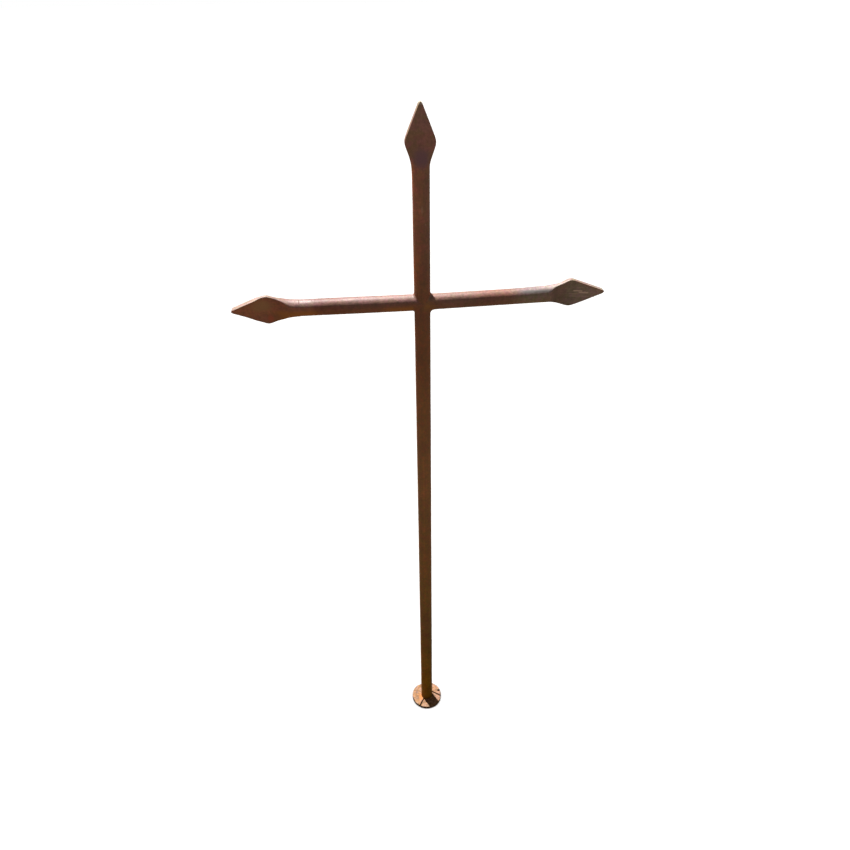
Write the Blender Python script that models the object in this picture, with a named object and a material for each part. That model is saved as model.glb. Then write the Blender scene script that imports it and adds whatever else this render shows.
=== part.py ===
"""Wrought iron grave cross: a round upright and two round arms, each ending in
a flattened spear point, the arms butted and welded to the upright, all
standing on a small round foot plate.

Metres, +Z up.  The origin is the centre of the foot plate's underside, the
cross's wide side faces -Y, and the arms run along X.
"""

import math
from typing import NamedTuple

import bmesh
import bpy
from mathutils import Vector

# ---------------------------------------------------------------- dimensions
UNIT = 0.0200                  # nominal bar diameter, the unit of the points
UPRIGHT_DIAMETER = 0.0208      # the bars were drawn by hand and differ a little
LEFT_ARM_DIAMETER = 0.0210
RIGHT_ARM_DIAMETER = 0.0200
PLATE_DIAMETER = 0.0554        # round foot plate
PLATE_THICKNESS = 0.0060
PLATE_CHAMFER = 0.0005         # worn edge of the plate, top and bottom
TOTAL_HEIGHT = 1.0705          # foot plate's underside to the top point
ARM_HEIGHT = 0.8355            # axis of the arms where they meet the upright
LEFT_ARM_REACH = 0.2400        # upright's axis to the tip of an arm
RIGHT_ARM_REACH = 0.2382
LEFT_ARM_RISE = math.radians(0.37)     # each arm was set slightly tip-up
RIGHT_ARM_RISE = math.radians(0.67)
JOINT_GAP = 0.0003             # clearance between neighbouring pieces


class Weld(NamedTuple):
    """Radii of an arm's fillets against the upright."""
    below: float
    above: float


LEFT_WELD = Weld(below=0.0036, above=0.0034)
RIGHT_WELD = Weld(below=0.0056, above=0.0038)


class Side(NamedTuple):
    """One side of a spear point's outline, in UNITs from its axis."""
    start: float               # at the tip, before its rounding
    taper: float               # half width gained per length
    hollow: float              # distance from the tip where it is bar again
    fall: float                # half width lost per length behind the shoulder
    softness: float            # how gently the hollow runs into the bar
    swell: float = 0.0         # fullness left on the bar behind the hollow
    bow: float = 0.0           # hollowing of the tapered side


class Spear(NamedTuple):
    """A hand-forged spear point; low is its -X or lower side."""
    low: Side
    high: Side
    tip_half: float            # half thickness of the tapered end
    waist_half: float          # and at the shoulder, where it is beaten thinnest
    ramp_start: float          # blade face begins to rise to the round bar
    ramp_end: float


TOP_SPEAR = Spear(Side(0.072, 0.436, 3.18, 0.40, 0.090),
                  Side(0.094, 0.410, 3.22, 0.37, 0.040), 0.250, 0.190, 2.40, 3.55)
LEFT_SPEAR = Spear(Side(0.065, 0.300, 3.30, 0.41, 0.160, 0.0, 0.055),
                   Side(0.095, 0.399, 3.20, 0.41, 0.165), 0.260, 0.145, 2.58, 3.68)
RIGHT_SPEAR = Spear(Side(0.062, 0.358, 3.32, 0.37, 0.040),
                    Side(0.097, 0.401, 3.09, 0.56, 0.135, 0.070),
                    0.205, 0.185, 2.90, 3.75)

CORNER_SOFTNESS = 0.095        # rounding of the widest corner
SPEAR_LENGTH = 4.20            # all of the point, with a short run of bar
SWELL_LENGTH = 6.40            # a swell has run out into the bar

# marks in the top of the foot plate
MARK_DEPTH = 0.0012
FRONT_MARK_WIDTH = 0.0018
SIDE_MARK_WIDTH = 0.0014
PIT_DIAMETER = 0.0042
PIT_DEPTH = 0.0022

# ------------------------------------------------------------------ fineness
SIDE_POINTS = 12               # points on each rounded side of a bar section
PLATE_SIDES = 72
BAR_RING_SPACING = 0.060

HALF_STEP = math.pi / (2 * SIDE_POINTS)
ROUND_CUT = math.sin(math.pi / 2 - HALF_STEP)


# ----------------------------------------------------------------- materials
def make_material(name, colour, metallic, roughness):
    material = bpy.data.materials.new(name)
    material.use_nodes = True
    shader = material.node_tree.nodes["Principled BSDF"]
    shader.inputs["Base Color"].default_value = (*colour, 1.0)
    shader.inputs["Metallic"].default_value = metallic
    shader.inputs["Roughness"].default_value = roughness
    material.diffuse_color = (*colour, 1.0)
    return material


# ------------------------------------------------------------- spear profile
def smooth_step(value, start, end):
    t = min(1.0, max(0.0, (value - start) / (end - start)))
    return t * t * (3.0 - 2.0 * t)


def tapered(s, side):
    """Half width of the tapered end: a round nose, then the straight or
    slightly hollow side that touches it."""
    slant = math.hypot(1.0, side.taper)
    nose = side.start / (slant - side.taper)
    if s < nose * (1.0 - side.taper / slant):
        return math.sqrt(max(0.0, nose ** 2 - (nose - s) ** 2))
    return side.start + side.taper * s + side.bow * s * s


def side_width(s, side, radius):
    """Distance of one side from the axis, s UNITs from the tip."""
    taper = tapered(s, side)
    hollow = (side.hollow - s) * side.fall / side.softness
    shoulder = radius + side.softness * math.log1p(math.exp(hollow))
    shoulder += side.swell * (1.0 - smooth_step(s, 3.2, SWELL_LENGTH))
    nearer, farther = min(taper, shoulder), max(taper, shoulder)
    return nearer - CORNER_SOFTNESS * math.log1p(
        math.exp((nearer - farther) / CORNER_SOFTNESS))


def half_thickness(s, spear, radius):
    """Half the point's thickness, s UNITs from the tip."""
    edge = 0.72 + 0.28 * smooth_step(s, 0.0, 0.16)
    shoulder = smooth_step(s, 1.45, 1.95)
    blade = edge * (spear.tip_half + (spear.waist_half - spear.tip_half) * shoulder)
    t = (s - spear.ramp_start) / (spear.ramp_end - spear.ramp_start)
    t = min(1.0, max(0.0, t))
    rise = t * t * (1.6 - 0.6 * t)
    return blade + (radius * ROUND_CUT - blade) * rise


def side_roundness(s, spear):
    """0.12 on the blade's nearly square edge, 1 on the round bar."""
    return 0.12 + 0.88 * smooth_step(s, spear.ramp_start, spear.ramp_end)


def bar_section(radius, low=None, high=None, thickness=None, roundness=1.0):
    """Points (u, v) round a section: the bar's circle, drawn out to -low and
    high and cut flat at +-thickness.  Values in UNITs, result in metres.
    First half: the +u side from -v to +v; second half: the -u side back."""
    low = radius if low is None else low
    high = radius if high is None else high
    thickness = radius if thickness is None else thickness
    limit = math.asin(min(ROUND_CUT, thickness / radius))
    near, far = [], []
    for j in range(SIDE_POINTS):
        angle = limit * (2.0 * j / (SIDE_POINTS - 1) - 1.0)
        inset = roundness * radius * (1.0 - math.cos(angle))
        v = radius * math.sin(angle) * UNIT
        near.append(((high - inset) * UNIT, v))
        far.append(((inset - low) * UNIT, v))
    return near + far[::-1]


def spear_sections(spear, radius):
    """(distance from the tip in metres, section) pairs, bar end first."""
    stations = [SPEAR_LENGTH, 3.90]
    if spear.low.swell or spear.high.swell:
        stations = [SWELL_LENGTH, 5.80, 5.25, 4.70] + stations
    s = spear.ramp_end
    while s > spear.ramp_start + 0.05:
        stations.append(s)
        s -= 0.12
    s = spear.ramp_start
    while s > 0.30:
        stations.append(s)
        s -= 0.13 if 1.5 < s else 0.26
    stations += [0.20, 0.13, 0.08, 0.045, 0.018, 0.004]
    rings = []
    for s in stations:
        rings.append((s * UNIT, bar_section(
            radius, side_width(s, spear.low, radius),
            side_width(s, spear.high, radius),
            half_thickness(s, spear, radius), side_roundness(s, spear))))
    return rings[:-1] + [(0.0, rings[-1][1])]


# ------------------------------------------------------------------- lofting
def loft(name, rings, material):
    """A closed solid through rings of points, its two ends capped by strips
    that join the two sides of the section."""
    mesh = bmesh.new()
    loops = [[mesh.verts.new(point) for point in ring] for ring in rings]
    count = len(rings[0])
    for lower, upper in zip(loops, loops[1:]):
        for i in range(count):
            k = (i + 1) % count
            mesh.faces.new((lower[i], lower[k], upper[k], upper[i]))
    half = count // 2
    for loop in (loops[0], loops[-1]):
        for j in range(half - 1):
            mesh.faces.new((loop[j], loop[j + 1],
                            loop[count - 2 - j], loop[count - 1 - j]))
    bmesh.ops.triangulate(mesh, faces=mesh.faces[:])
    bmesh.ops.recalc_face_normals(mesh, faces=mesh.faces[:])
    data = bpy.data.meshes.new(name)
    mesh.to_mesh(data)
    mesh.free()
    data.materials.append(material)
    data.shade_smooth()
    data.set_sharp_from_angle(angle=math.radians(32))
    part = bpy.data.objects.new(name, data)
    bpy.context.collection.objects.link(part)
    return part


def spaced(start, end, spacing):
    """Evenly spaced values from start to end, both left out."""
    count = max(1, round((end - start) / spacing))
    return [start + (end - start) * i / count for i in range(1, count)]


def make_upright(material):
    """Round bar from the foot plate to the top point, its blade in XZ."""
    radius = UPRIGHT_DIAMETER / 2 / UNIT
    bottom = PLATE_THICKNESS + JOINT_GAP
    spear = spear_sections(TOP_SPEAR, radius)
    bar_end = TOTAL_HEIGHT - spear[0][0]
    levels = [bottom] + spaced(bottom, bar_end, BAR_RING_SPACING)
    rings = [[(u, v, z) for u, v in bar_section(radius)] for z in levels]
    rings += [[(u, v, TOTAL_HEIGHT - s) for u, v in section]
              for s, section in spear]
    return loft("upright", [[Vector(p) for p in ring] for ring in rings], material)


def fillet(distance, radius):
    """Height of a fillet's hollow curve at a distance from the upright."""
    if distance >= radius:
        return 0.0
    return radius - math.sqrt(radius ** 2 - (radius - distance) ** 2)


def make_arm(name, direction, reach, diameter, rise, weld, spear, material):
    """Round bar whose inner end is hollowed to fit round the upright and
    flared above and below by the weld, and whose outer end is a spear
    point with its blade in XZ."""
    radius = diameter / 2 / UNIT
    fit_radius = max(UPRIGHT_DIAMETER, diameter) / 2 + JOINT_GAP
    widest = max(weld)
    point = spear_sections(spear, radius)
    bar_end = reach - point[0][0]
    fade_start = fit_radius + widest
    fade_end = fit_radius + 0.018

    stations = [fit_radius + widest * part
                for part in (0.0, 0.06, 0.16, 0.32, 0.55, 0.78, 1.0)]
    stations += spaced(fade_start, fade_end, 0.005) + [fade_end]
    stations += spaced(fade_end, bar_end, BAR_RING_SPACING)
    rings = []
    for x in stations:
        fade = 1.0 - smooth_step(x, fade_start, fade_end)
        ring = []
        for u, v in bar_section(radius):
            hollow = fit_radius - math.sqrt(fit_radius ** 2 - v ** 2)
            flare = fillet(x - fit_radius, weld.above if u > 0 else weld.below)
            ring.append((x - hollow * fade, v, u * (1.0 + flare / (radius * UNIT))))
        rings.append(ring)
    rings += [[(reach - s, v, u) for u, v in section]
              for s, section in point]
    slope = math.tan(rise)
    world = [[Vector((direction * x, y, ARM_HEIGHT + slope * x + z))
              for x, y, z in ring] for ring in rings]
    return loft(name, world, material)


# ---------------------------------------------------------------- foot plate
def plate_mark(name, start, end, width):
    """Cutter for a narrow straight groove in the plate's top."""
    start, end = Vector(start), Vector(end)
    run = end - start
    bpy.ops.mesh.primitive_cube_add(size=1.0)
    cutter = bpy.context.object
    cutter.name = name
    cutter.scale = (run.length, width, 2 * MARK_DEPTH)
    cutter.rotation_euler = (0.0, 0.0, math.atan2(run.y, run.x))
    middle = (start + end) / 2
    cutter.location = (middle.x, middle.y, PLATE_THICKNESS)
    cutter.hide_render = True
    cutter.display_type = "WIRE"
    return cutter


def make_foot_plate(material):
    radius = PLATE_DIAMETER / 2
    profile = [(radius - PLATE_CHAMFER, 0.0), (radius, PLATE_CHAMFER),
               (radius, PLATE_THICKNESS - PLATE_CHAMFER),
               (radius - PLATE_CHAMFER, PLATE_THICKNESS)]
    mesh = bmesh.new()
    loops = []
    for r, z in profile:
        loops.append([mesh.verts.new((r * math.cos(a), r * math.sin(a), z))
                      for a in (2 * math.pi * i / PLATE_SIDES
                                for i in range(PLATE_SIDES))])
    for lower, upper in zip(loops, loops[1:]):
        for i in range(PLATE_SIDES):
            k = (i + 1) % PLATE_SIDES
            mesh.faces.new((lower[i], lower[k], upper[k], upper[i]))
    mesh.faces.new(list(reversed(loops[0])))
    mesh.faces.new(loops[-1])
    bmesh.ops.recalc_face_normals(mesh, faces=mesh.faces[:])
    data = bpy.data.meshes.new("foot_plate")
    mesh.to_mesh(data)
    mesh.free()
    data.materials.append(material)
    data.shade_smooth()
    data.set_sharp_from_angle(angle=math.radians(30))
    plate = bpy.data.objects.new("foot_plate", data)
    bpy.context.collection.objects.link(plate)

    # two narrow marks run from the upright's foot out over the rim, and a
    # small pit sits near the rim
    d = UNIT
    cutters = [
        plate_mark("cut_mark_front", (-0.33 * d, -0.43 * d),
                   (-0.87 * d, -1.27 * d), FRONT_MARK_WIDTH),
        plate_mark("cut_mark_side", (0.55 * d, 0.27 * d),
                   (1.45 * d, -0.42 * d), SIDE_MARK_WIDTH),
    ]
    bpy.ops.mesh.primitive_cylinder_add(
        vertices=20, radius=PIT_DIAMETER / 2, depth=2 * PIT_DEPTH,
        location=(1.19 * d, 0.31 * d, PLATE_THICKNESS))
    pit = bpy.context.object
    pit.name = "cut_pit"
    pit.hide_render = True
    pit.display_type = "WIRE"
    cutters.append(pit)
    for cutter in cutters:
        cut = plate.modifiers.new(cutter.name, "BOOLEAN")
        cut.operation = "DIFFERENCE"
        cut.solver = "EXACT"
        cut.object = cutter
    return plate


def main():
    for item in list(bpy.data.objects):
        bpy.data.objects.remove(item, do_unlink=True)
    upright_iron = make_material("upright_iron", (0.085, 0.040, 0.022), 0.35, 0.55)
    left_iron = make_material("left_arm_iron", (0.090, 0.040, 0.022), 0.35, 0.52)
    right_iron = make_material("right_arm_iron", (0.078, 0.044, 0.030), 0.35, 0.55)
    plate_iron = make_material("foot_plate_iron", (0.46, 0.27, 0.16), 0.15, 0.70)
    make_upright(upright_iron)
    make_arm("left_arm", -1.0, LEFT_ARM_REACH, LEFT_ARM_DIAMETER,
             LEFT_ARM_RISE, LEFT_WELD, LEFT_SPEAR, left_iron)
    make_arm("right_arm", 1.0, RIGHT_ARM_REACH, RIGHT_ARM_DIAMETER,
             RIGHT_ARM_RISE, RIGHT_WELD, RIGHT_SPEAR, right_iron)
    make_foot_plate(plate_iron)


main()
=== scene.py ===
import math

import bpy
import numpy as np
from mathutils import Matrix, Vector
from mathutils.geometry import delaunay_2d_cdt


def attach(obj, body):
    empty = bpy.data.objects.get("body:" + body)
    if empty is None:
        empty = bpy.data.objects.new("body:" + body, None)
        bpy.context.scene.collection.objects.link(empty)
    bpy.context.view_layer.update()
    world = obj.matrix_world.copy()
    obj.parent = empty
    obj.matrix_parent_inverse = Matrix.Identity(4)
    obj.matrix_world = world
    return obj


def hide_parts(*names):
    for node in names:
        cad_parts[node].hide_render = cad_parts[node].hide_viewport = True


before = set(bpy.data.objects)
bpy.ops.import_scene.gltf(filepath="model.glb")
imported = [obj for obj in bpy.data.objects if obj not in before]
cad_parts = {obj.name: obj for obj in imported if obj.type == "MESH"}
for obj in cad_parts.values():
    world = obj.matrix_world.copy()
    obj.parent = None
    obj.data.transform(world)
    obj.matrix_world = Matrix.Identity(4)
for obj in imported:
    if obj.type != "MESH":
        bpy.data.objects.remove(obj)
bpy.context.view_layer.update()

# ------------------------------------------------------------------ sizes
# Metres, +Z up; the origin is the centre of the foot plate's underside.
UNIT = 0.0200                       # nominal bar diameter
UPRIGHT_RADIUS = 0.0104
LEFT_ARM_RADIUS = 0.0105
RIGHT_ARM_RADIUS = 0.0100
PLATE_RADIUS = 0.0277
PLATE_THICKNESS = 0.0060
TOTAL_HEIGHT = 1.0705
ARM_HEIGHT = 0.8355
LEFT_ARM_REACH = 0.2400
RIGHT_ARM_REACH = 0.2382
LEFT_ARM_RISE = math.radians(0.37)
RIGHT_ARM_RISE = math.radians(0.67)
EDGE_WEAR = 0.00055                 # rounding of the points' edges
SPEAR_LENGTH = 4.20
SWELL_LENGTH = 6.40                 # a swell has run out into the bar
CORNER_SOFTNESS = 0.095

# low side and high side (start, taper, bow, hollow, fall, softness, swell), half
# thickness of the tapered end and of the shoulder, start and end of the face's
# rise to the round bar: all in UNITs from the tip
TOP_SPEAR = ((0.072, 0.436, 0.0, 3.18, 0.40, 0.090, 0.0), (0.094, 0.410, 0.0, 3.22, 0.37, 0.040, 0.0),
             0.250, 0.190, 2.40, 3.55)
LEFT_SPEAR = ((0.065, 0.300, 0.055, 3.30, 0.41, 0.160, 0.0), (0.095, 0.399, 0.0, 3.20, 0.41, 0.165, 0.0),
              0.260, 0.145, 2.58, 3.68)
RIGHT_SPEAR = ((0.062, 0.358, 0.0, 3.32, 0.37, 0.040, 0.0), (0.097, 0.401, 0.0, 3.09, 0.56, 0.135, 0.070),
               0.205, 0.185, 2.90, 3.75)


# ------------------------------------------------------------------ noise
class Perlin:
    """Seeded gradient noise over points in space, about -1 to 1."""

    def __init__(self, seed):
        rng = np.random.default_rng(seed)
        order = rng.permutation(256)
        self.order = np.concatenate([order, order])
        way = rng.normal(size=(256, 3))
        self.way = way / np.linalg.norm(way, axis=1)[:, None]

    def __call__(self, points):
        cell = np.floor(points).astype(int)
        f = points - cell
        w = f * f * f * (f * (f * 6 - 15) + 10)
        cell &= 255
        total = 0.0
        for dx in (0, 1):
            for dy in (0, 1):
                for dz in (0, 1):
                    h = self.order[(cell[..., 0] + dx) & 255]
                    h = self.order[h + ((cell[..., 1] + dy) & 255)]
                    h = self.order[h + ((cell[..., 2] + dz) & 255)]
                    weight = ((w[..., 0] if dx else 1 - w[..., 0])
                              * (w[..., 1] if dy else 1 - w[..., 1])
                              * (w[..., 2] if dz else 1 - w[..., 2]))
                    total = total + weight * (
                        self.way[h] * (f - np.array([dx, dy, dz]))).sum(-1)
        return total * 1.6


def facets(points, seed):
    """Shallow overlapping hammer marks: 0 in a mark's middle, up to 1 on the
    ridges between marks."""
    rng = np.random.default_rng(int(seed * 10))
    table = rng.random((64, 3))
    cell = np.floor(points).astype(int)
    nearest = np.full(points.shape[:-1], 9.0)
    for dx in (-1, 0, 1):
        for dy in (-1, 0, 1):
            for dz in (-1, 0, 1):
                c = cell + np.array([dx, dy, dz])
                h = (c[..., 0] * 73856093) ^ (c[..., 1] * 19349663) ^ (c[..., 2] * 83492791)
                spot = c + table[h % 64]
                nearest = np.minimum(nearest, ((points - spot) ** 2).sum(-1))
    return np.clip(nearest / 0.75, 0, 1)


def smooth_step(value, start, end):
    t = np.clip((value - start) / (end - start), 0.0, 1.0)
    return t * t * (3.0 - 2.0 * t)


# --------------------------------------------------- outline of the points
def tapered(s, start, taper, bow):
    """Half width of the tapered end: a round nose, then the straight or
    slightly bowed side that touches it."""
    slant = math.hypot(1.0, taper)
    nose = start / (slant - taper)
    if s < nose * (1.0 - taper / slant):
        return math.sqrt(max(0.0, nose ** 2 - (nose - s) ** 2))
    return start + taper * s + bow * s * s


def side_width(s, side, radius):
    start, taper_rate, bow, hollow_end, fall, softness, swell = side
    taper = tapered(s, start, taper_rate, bow)
    hollow = (hollow_end - s) * fall / softness
    shoulder = radius + softness * math.log1p(math.exp(hollow))
    shoulder += swell * (1.0 - float(smooth_step(s, 3.2, SWELL_LENGTH)))
    nearer, farther = min(taper, shoulder), max(taper, shoulder)
    return nearer - CORNER_SOFTNESS * math.log1p(math.exp((nearer - farther) / CORNER_SOFTNESS))


def half_thickness(s, spear, radius):
    _, _, tip_half, waist_half, ramp_start, ramp_end = spear
    edge = 0.72 + 0.28 * float(smooth_step(s, 0.0, 0.16))
    blade = edge * (tip_half + (waist_half - tip_half) * float(smooth_step(s, 1.45, 1.95)))
    t = min(1.0, max(0.0, (s - ramp_start) / (ramp_end - ramp_start)))
    rise = t * t * (1.6 - 0.6 * t)
    return blade + (radius * 0.9985 - blade) * rise


def quarter(width, thickness, radius, roundness, blend, steps, cut):
    """One quarter of a section, from (width, 0) to (0, thickness), in UNITs.
    The points keep to the edge where the bar is flattened, and spread
    evenly where it is round."""
    n_side, n_edge, n_flat = steps
    thickness = min(thickness, radius)

    def side(v):
        return width - roundness * (radius - np.sqrt(np.maximum(radius ** 2 - v ** 2, 0.0)))

    corner = max(float(side(np.array(thickness))), 0.0)
    cut = min(cut, 0.45 * thickness, max(0.45 * corner, 1e-5))
    # evenly turned steps, so that the round bar's outline is even too
    turn = np.linspace(0.0, math.asin(min(1.0, (thickness - cut) / radius)), 48)
    v1 = radius * np.sin(turn)
    line = [np.stack([side(v1), v1], 1)]
    t = np.linspace(0, 1, 10)[1:, None]
    a = np.array([float(side(np.array(thickness - cut))), thickness - cut])
    b = np.array([corner, thickness])
    c = np.array([max(corner - cut, 0.0), thickness])
    line.append((1 - t) ** 2 * a + 2 * t * (1 - t) * b + t ** 2 * c)
    u3 = np.linspace(c[0], 0.0, 40)[1:]
    line.append(np.stack([u3, np.full_like(u3, thickness)], 1))
    line = np.concatenate(line)
    run = np.concatenate([[0], np.cumsum(np.linalg.norm(np.diff(line, axis=0), axis=1))])
    marks = np.array([0.0, run[47], run[56], run[-1]])
    total = n_side + n_edge + n_flat
    index = np.arange(total + 1)
    keep = np.interp(index, [0, n_side, n_side + n_edge, total], marks)
    # closer steps next to the edge
    even = index / total * run[-1]
    where = keep * (1 - blend) + even * blend
    near_edge = np.exp(-((where - (marks[1] + marks[2]) / 2) / (1.1 * cut)) ** 2)
    return (np.stack([np.interp(where, run, line[:, 0]),
                      np.interp(where, run, line[:, 1])], 1), near_edge)


def section(radius, low, high, thickness, roundness, blend, steps, cut=EDGE_WEAR / UNIT):
    """A closed section: (u, v) points in UNITs and how near each is to an
    edge, counter-clockwise from (high, 0)."""
    right, edge_r = quarter(high, thickness, radius, roundness, blend, steps, cut)
    left, edge_l = quarter(low, thickness, radius, roundness, blend, steps, cut)
    q1 = right
    q2 = left[::-1] * [-1, 1]
    q3 = left * [-1, -1]
    q4 = right[::-1] * [1, -1]
    points = np.concatenate([q1[:-1], q2[:-1], q3[:-1], q4[:-1]])
    edges = np.concatenate([edge_r[:-1], edge_l[::-1][:-1], edge_l[:-1], edge_r[::-1][:-1]])
    return points, edges


def spear_rings(spear, radius, steps, spacing):
    """Stations from the bar to the tip: (distance from the tip in metres,
    section in metres, edge nearness, how flat)."""
    length = SWELL_LENGTH if spear[0][6] or spear[1][6] else SPEAR_LENGTH
    stations = list(np.linspace(length, 0.12, int(length * UNIT / spacing)))
    stations += [0.12 * t for t in (0.76, 0.56, 0.40, 0.27, 0.17, 0.09, 0.04, 0.01)]
    rings = []
    for s in stations:
        round_part = float(smooth_step(s, spear[4], spear[5]))
        # the edges run out softly towards the bar
        soft = float(smooth_step(s, 2.2, 3.0))
        points, edges = section(
            radius / UNIT, side_width(s, spear[0], radius / UNIT),
            side_width(s, spear[1], radius / UNIT),
            half_thickness(s, spear, radius / UNIT),
            0.12 + 0.88 * round_part, round_part, steps, EDGE_WEAR / UNIT * (1.0 + 2.5 * soft))
        rings.append((s * UNIT, points * UNIT, edges * (1 - round_part) * (1 - 0.8 * soft), 1 - round_part))
    rings[-1] = (0.0,) + rings[-1][1:]
    return rings


# ---------------------------------------------------------------- meshing
def grid_normals(grid):
    """Outward normals of a grid of rings that closes round its second way."""
    along = np.gradient(grid, axis=0)
    around = np.roll(grid, -1, axis=1) - np.roll(grid, 1, axis=1)
    normal = np.cross(around, along)
    return normal / np.maximum(np.linalg.norm(normal, axis=2), 1e-12)[..., None]


def grid_piece(name, grid, edge, flip=False):
    """A closed piece from rings of points, both ends capped by strips."""
    rings, around = grid.shape[:2]
    index = np.arange(rings * around).reshape(rings, around)
    a, b = index[:-1], index[1:]
    quads = np.stack([a, np.roll(a, -1, axis=1), np.roll(b, -1, axis=1), b], 2).reshape(-1, 4)
    caps = []
    for ring, turn in ((index[0], True), (index[-1], False)):
        half = around // 2
        for j in range(half):
            cap = [ring[j], ring[j + 1], ring[(around - 1 - j) % around], ring[(around - j) % around]]
            if len(set(cap)) < 4:
                continue
            caps.append(cap[::-1] if turn else cap)
    tips = []
    for ring, turn in ((index[0], True), (index[-1], False)):
        half = around // 2
        tips.append(([ring[0], ring[1], ring[around - 1]], turn))
        tips.append(([ring[half - 1], ring[half], ring[half + 1]], turn))
    quads = np.concatenate([quads, np.array(caps)])
    if flip:
        quads = quads[:, ::-1]
    return quads, [t[::-1] if turn != flip else t for t, turn in tips]


def make_grid_piece(name, grid, edge, flip=False):
    quads, tips = grid_piece(name, grid, edge, flip)
    mesh = bpy.data.meshes.new(name)
    vertices = grid.reshape(-1, 3).astype(np.float32)
    loops = np.concatenate([quads.ravel(), np.array(tips).ravel()]).astype(np.int32)
    starts = np.concatenate([np.arange(len(quads)) * 4,
                             len(quads) * 4 + np.arange(len(tips)) * 3]).astype(np.int32)
    mesh.vertices.add(len(vertices))
    mesh.vertices.foreach_set("co", vertices.ravel())
    mesh.loops.add(len(loops))
    mesh.loops.foreach_set("vertex_index", loops)
    mesh.polygons.add(len(starts))
    mesh.polygons.foreach_set("loop_start", starts)
    mesh.update(calc_edges=True)
    mesh.validate()
    layer = mesh.attributes.new("edge_wear_and_sheen", "FLOAT", "POINT")
    layer.data.foreach_set("value", edge.reshape(-1).astype(np.float32))
    mesh.shade_smooth()
    piece = bpy.data.objects.new(name, mesh)
    bpy.context.collection.objects.link(piece)
    return piece


SLOW, MIDDLE, FINE, GRAIN = Perlin(11), Perlin(23), Perlin(37), Perlin(53)


def relief(points, along, seed, calm):
    """Height of the hand-worked surface, in metres.  calm is 0 where the
    surface stays true and 1 where it is as forged."""
    stretch = points * (1.0 - 0.45 * np.abs(np.array(along)))
    height = 0.00013 * SLOW(points / 0.060 + seed)
    height += 0.00007 * (facets(stretch / 0.0085 + seed, seed) - 0.35)
    height += 0.000045 * MIDDLE(points / 0.0048 + seed)
    height += 0.000018 * FINE(points / 0.0021 + seed)
    return height * calm


# ---------------------------------------------------------------- pieces
def make_upright():
    steps = (7, 3, 14)
    bottom = PLATE_THICKNESS - 0.00005
    spear = spear_rings(TOP_SPEAR, UPRIGHT_RADIUS, steps, 0.00075)
    bar_end = TOTAL_HEIGHT - spear[0][0]
    ring, edge = section(UPRIGHT_RADIUS / UNIT, UPRIGHT_RADIUS / UNIT, UPRIGHT_RADIUS / UNIT,
                         UPRIGHT_RADIUS / UNIT * 0.9985, 1.0, 1.0, steps)
    ring = ring * UNIT
    foot = [0.0, 0.00015, 0.00035, 0.0006, 0.0009, 0.0013, 0.0018, 0.0025]
    levels = [bottom + f for f in foot]
    levels += list(np.linspace(bottom + 0.0035, bar_end, int((bar_end - bottom) / 0.00125)))[:-1]
    grid, edge_wear_and_sheen, flat, tipward = [], [], [], []
    bead = 0.0004
    for z in levels:
        rise = z - bottom
        flare = 0.0
        if rise < bead:
            flare = bead - math.sqrt(bead ** 2 - (bead - rise) ** 2)
        angle = np.arctan2(ring[:, 1], ring[:, 0])
        uneven = 0.75 + 0.25 * np.sin(5 * angle + 1.0) * np.sin(3 * angle + 0.4)
        scale = 1.0 + flare * 0.8 * uneven / UPRIGHT_RADIUS
        grid.append(np.stack([ring[:, 0] * scale, ring[:, 1] * scale, np.full(len(ring), z)], 1))
        edge_wear_and_sheen.append(np.zeros(len(ring)))
        flat.append(0.0)
        tipward.append(TOTAL_HEIGHT - z)
    for s, points, edges, flatness in spear:
        grid.append(np.stack([points[:, 0], points[:, 1],
                              np.full(len(points), TOTAL_HEIGHT - s)], 1))
        edge_wear_and_sheen.append(edges)
        flat.append(flatness)
        tipward.append(s)
    grid, edge_wear_and_sheen = np.array(grid), np.array(edge_wear_and_sheen)
    tipward = np.array(tipward)[:, None]
    z = grid[..., 2]
    calm = smooth_step(z, bottom + 0.0005, bottom + 0.006)
    near_crossing = 1.0 - smooth_step(np.abs(z - ARM_HEIGHT), 0.014, 0.022)
    calm = calm * (1 - 0.92 * near_crossing) * smooth_step(tipward, 0.0, 0.004)
    normal = grid_normals(grid)
    if ((normal[..., :2] * grid[..., :2]).sum(-1)).mean() < 0:
        normal = -normal
    height = relief(grid, (0, 0, 1), 3.7, calm)
    grid = grid + normal * height[..., None]
    return make_grid_piece("upright_bar", grid, edge_wear_and_sheen)


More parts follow.
